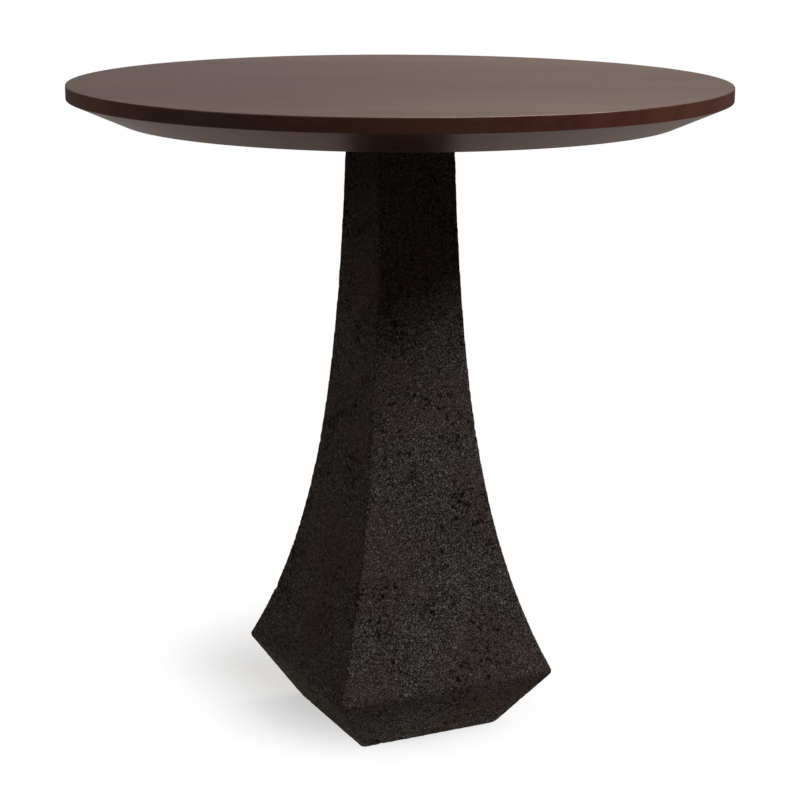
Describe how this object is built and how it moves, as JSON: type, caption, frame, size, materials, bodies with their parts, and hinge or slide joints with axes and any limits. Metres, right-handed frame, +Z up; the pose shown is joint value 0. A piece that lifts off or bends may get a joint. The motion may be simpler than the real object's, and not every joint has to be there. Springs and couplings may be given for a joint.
{
  "type": "side table",
  "caption": "Round tabletop of dark wood with an undercut edge, on a flared square pillar of dark cast stone that stands on adjustable glides.",
  "frame": {"origin": "on the floor below the middle of the table, at the undersides of the glides", "axes": "+Z up; the four sides of the pillar face along X and Y"},
  "size_m": [0.6, 0.6, 0.61],
  "materials": {
    "wood": "dark brown stain, satin lacquer",
    "stone": "black-brown cast stone, granular, matt",
    "black_steel": "black powder coat",
    "plain_steel": "bare drawn wire and rod",
    "zinc_steel": "bright zinc plate",
    "nylon": "moulded, matt"
  },
  "bodies": {
    "table": {"stave_1": "wood", "stave_2": "wood", "stave_3": "wood", "stave_4": "wood", "stave_5": "wood", "stave_6": "wood", "stave_7": "wood", "mounting_plate": "black_steel", "plate_bolts": "zinc_steel", "plate_screws": "zinc_steel", "stone_base": "stone", "column_inserts": "zinc_steel", "anchor_rods": "plain_steel", "rod_ties": "plain_steel", "glide_inserts": "zinc_steel"},
    "pad_1": {"glide_pad_1": "nylon"},
    "stem_1": {"glide_stem_1": "zinc_steel"},
    "pad_2": {"glide_pad_2": "nylon"},
    "stem_2": {"glide_stem_2": "zinc_steel"},
    "pad_3": {"glide_pad_3": "nylon"},
    "stem_3": {"glide_stem_3": "zinc_steel"},
    "pad_4": {"glide_pad_4": "nylon"},
    "stem_4": {"glide_stem_4": "zinc_steel"}
  },
  "joints": [
    {"name": "glide_1_travel", "type": "slide", "parent": "table", "child": "pad_1", "axis": [0, 0, -1], "range_m": [0, 0.01]},
    {"name": "glide_1_turn", "type": "hinge", "parent": "pad_1", "child": "stem_1", "pos_m": [-0.046, -0.046, 0.008], "axis": [0, 0, -1], "range_deg": [0, 2880]},
    {"name": "glide_2_travel", "type": "slide", "parent": "table", "child": "pad_2", "axis": [0, 0, -1], "range_m": [0, 0.01]},
    {"name": "glide_2_turn", "type": "hinge", "parent": "pad_2", "child": "stem_2", "pos_m": [0.046, -0.046, 0.008], "axis": [0, 0, -1], "range_deg": [0, 2880]},
    {"name": "glide_3_travel", "type": "slide", "parent": "table", "child": "pad_3", "axis": [0, 0, -1], "range_m": [0, 0.01]},
    {"name": "glide_3_turn", "type": "hinge", "parent": "pad_3", "child": "stem_3", "pos_m": [0.046, 0.046, 0.008], "axis": [0, 0, -1], "range_deg": [0, 2880]},
    {"name": "glide_4_travel", "type": "slide", "parent": "table", "child": "pad_4", "axis": [0, 0, -1], "range_m": [0, 0.01]},
    {"name": "glide_4_turn", "type": "hinge", "parent": "pad_4", "child": "stem_4", "pos_m": [-0.046, 0.046, 0.008], "axis": [0, 0, -1], "range_deg": [0, 2880]}
  ],
  "couplings": [
    {"joint": "glide_1_turn", "follows": "glide_1_travel", "rad_per_m": 5026.5},
    {"joint": "glide_2_turn", "follows": "glide_2_travel", "rad_per_m": 5026.5},
    {"joint": "glide_3_turn", "follows": "glide_3_travel", "rad_per_m": 5026.5},
    {"joint": "glide_4_turn", "follows": "glide_4_travel", "rad_per_m": 5026.5}
  ]
}
